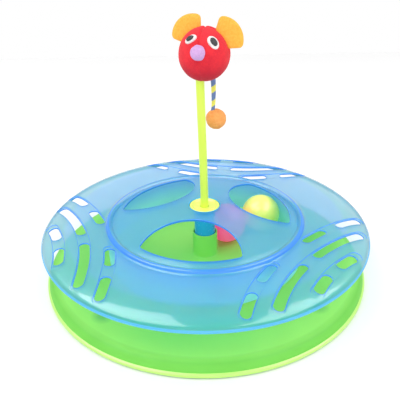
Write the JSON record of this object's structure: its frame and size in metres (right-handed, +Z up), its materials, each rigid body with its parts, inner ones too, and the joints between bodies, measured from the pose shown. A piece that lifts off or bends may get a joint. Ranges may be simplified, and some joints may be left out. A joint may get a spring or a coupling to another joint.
{
  "type": "cat activity board",
  "caption": "Round cat activity board: low green tray, turning transparent blue cover with openings, loose balls under it and a stuffed mouse head on a mast.",
  "frame": {"origin": "on the axis of the disc, at the level of the floor", "axes": "+Z up along the disc's axis, -Y towards the side that the mouse faces, +X to the right seen from there"},
  "size_m": [0.25, 0.25, 0.1939],
  "materials": {
    "tray_plastic": "translucent lime green moulding, glossy",
    "pad_rubber": "soft non-slip pad, matt",
    "cover_plastic": "transparent blue moulding, glossy",
    "mast_plastic": "translucent yellow-green plastic, satin",
    "head_cloth": "stuffed short-pile cloth",
    "eye_felt": "white felt",
    "pupil_felt": "dark grey felt",
    "nose_felt": "dense felted ball, lilac",
    "ear_felt": "orange-yellow felt",
    "tail_cloth": "blue cord wrapped with yellow bands",
    "tail_felt": "felted ball, orange",
    "yellow_plastic": "hollow plastic ball, glossy",
    "pink_plastic": "hollow plastic ball, glossy"
  },
  "bodies": {
    "base": {"base_tray": "tray_plastic", "foot_pad_1": "pad_rubber", "foot_pad_2": "pad_rubber", "foot_pad_3": "pad_rubber", "foot_pad_4": "pad_rubber"},
    "cover": {"cover": "cover_plastic"},
    "mast": {"mast_plug": "mast_plastic", "mast_tube": "mast_plastic", "head": "head_cloth", "eye_left": "eye_felt", "eye_right": "eye_felt", "pupil_left": "pupil_felt", "pupil_right": "pupil_felt", "nose": "nose_felt", "ear_left": "ear_felt", "ear_right": "ear_felt"},
    "tail": {"tail_cord": "tail_cloth", "tail_ball": "tail_felt"},
    "outer_ball": {"ball_yellow": "yellow_plastic"},
    "inner_ball": {"ball_pink": "pink_plastic"}
  },
  "joints": [
    {"name": "cover_spin", "type": "hinge", "parent": "base", "child": "cover", "pos_m": [0, 0, 0.0365], "axis": [0, 0, 1], "continuous": true},
    {"name": "mast_lift", "type": "slide", "parent": "cover", "child": "mast", "axis": [0, 0, 1], "range_m": [0, 0.03]},
    {"name": "tail_swing", "type": "hinge", "parent": "mast", "child": "tail", "pos_m": [0.0056, 0.0124, 0.1568], "axis": [0.8181, 0.5751, 0], "range_deg": [-30, 30]},
    {"name": "outer_ball_run", "type": "hinge", "parent": "base", "child": "outer_ball", "pos_m": [0, 0, 0.0266], "axis": [0, 0, 1], "continuous": true},
    {"name": "inner_ball_run", "type": "hinge", "parent": "base", "child": "inner_ball", "pos_m": [0, 0, 0.0266], "axis": [0, 0, 1], "continuous": true}
  ]
}
